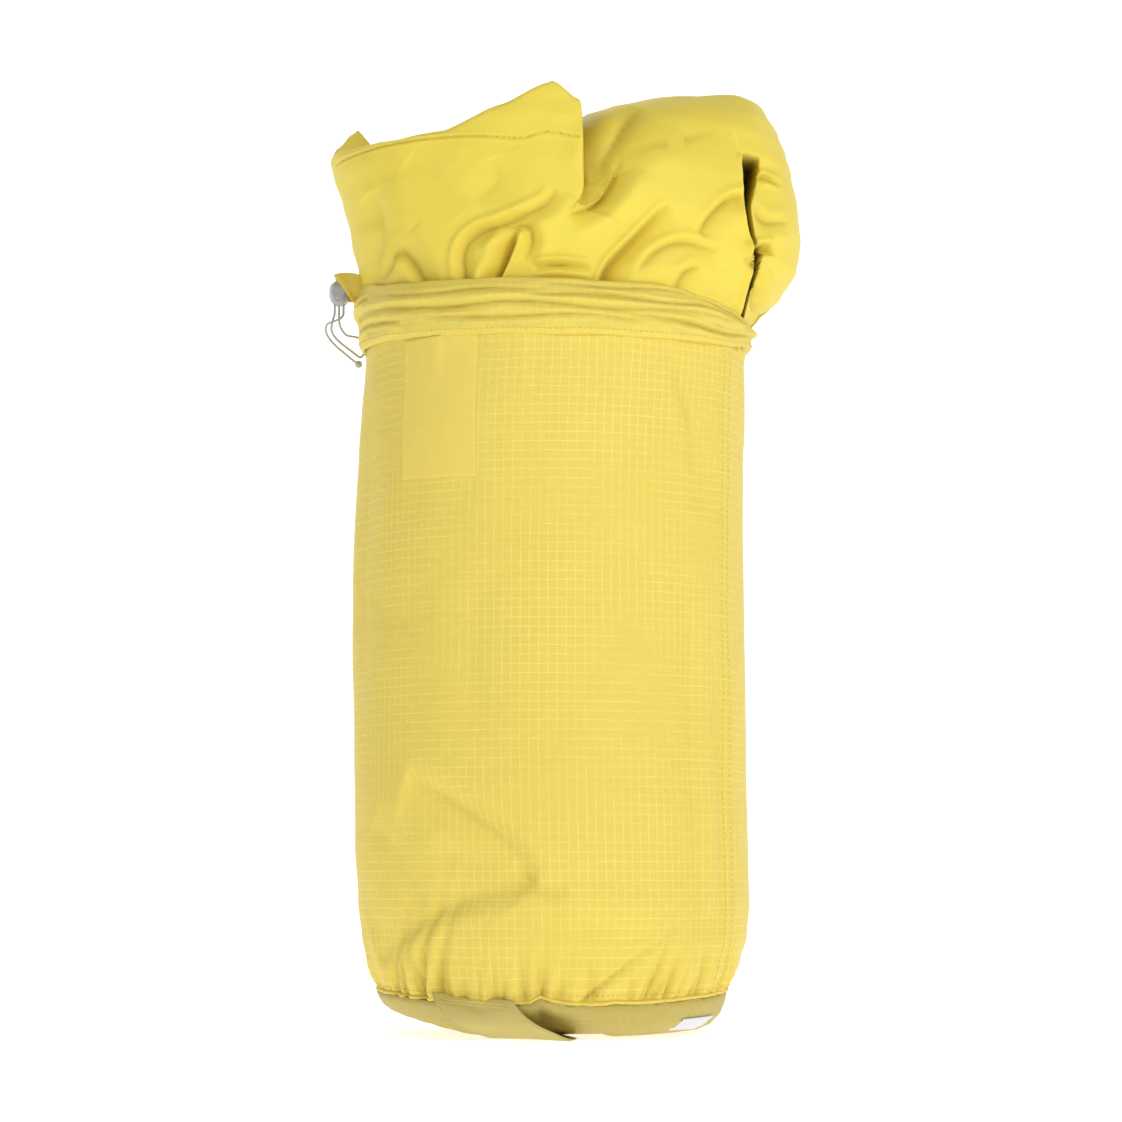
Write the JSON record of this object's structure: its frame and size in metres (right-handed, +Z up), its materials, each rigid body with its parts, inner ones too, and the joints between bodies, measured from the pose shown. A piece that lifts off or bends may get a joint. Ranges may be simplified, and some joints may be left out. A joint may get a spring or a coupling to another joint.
{
  "type": "drawcord stuff sack",
  "caption": "Round-bottomed ripstop stuff sack with a drawcord hem, cord lock and base grab strap, packed with a rolled sheet that stands out of its mouth.",
  "frame": {"origin": "under the middle of the round base, on the surface that the sack stands on", "axes": "+Z up along the sack towards its mouth, the front of the sack faces -Y"},
  "size_m": [0.256, 0.2126, 0.498],
  "materials": {
    "ripstop": "woven ripstop nylon with a coated, slightly glossy face",
    "plain_cloth": "smooth plain-woven nylon",
    "base_cloth": "plain-woven nylon, a little duller than the tube",
    "strap_cloth": "folded and stitched nylon band",
    "sheet_cloth": "light coated nylon, soft sheen",
    "thread": "polyester thread",
    "cord": "thin white braided cord",
    "label": "blank woven label with a dark edge",
    "lock_plastic": "translucent white moulded plastic",
    "spring_steel": "bright wire"
  },
  "bodies": {
    "sack": {"body_panel": "ripstop", "body_patch": "plain_cloth", "side_seam": "ripstop", "side_seam_thread": "thread", "base_panel": "base_cloth", "base_seam_tape": "ripstop", "base_seam_thread": "thread", "base_label": "label", "label_thread": "thread", "grab_strap": "strap_cloth", "strap_bartacks": "thread", "channel_hem": "ripstop", "channel_thread": "thread", "channel_spout": "ripstop", "drawcord_ring": "cord", "drawcord_strands": "cord", "drawcord_loop": "cord", "drawcord_tail": "cord", "stopper_knot": "cord"},
    "sheet": {"stuffed_sheet": "sheet_cloth"},
    "cord_lock": {"cord_lock_body": "lock_plastic", "cord_lock_spring": "spring_steel"},
    "lock_button": {"cord_lock_plunger": "lock_plastic"}
  },
  "joints": [
    {"name": "sheet_pull", "type": "slide", "parent": "sack", "child": "sheet", "axis": [0, 0, 1], "range_m": [0, 0.42]},
    {"name": "lock_slide", "type": "slide", "parent": "sack", "child": "cord_lock", "axis": [0, 0, -1], "range_m": [0, 0.0045]},
    {"name": "button_press", "type": "slide", "parent": "cord_lock", "child": "lock_button", "axis": [0, 1, 0], "range_m": [0, 0.002], "stiffness_N_per_m": 400, "springref_m": -0.001, "deforming": ["cord_lock_spring"]}
  ]
}
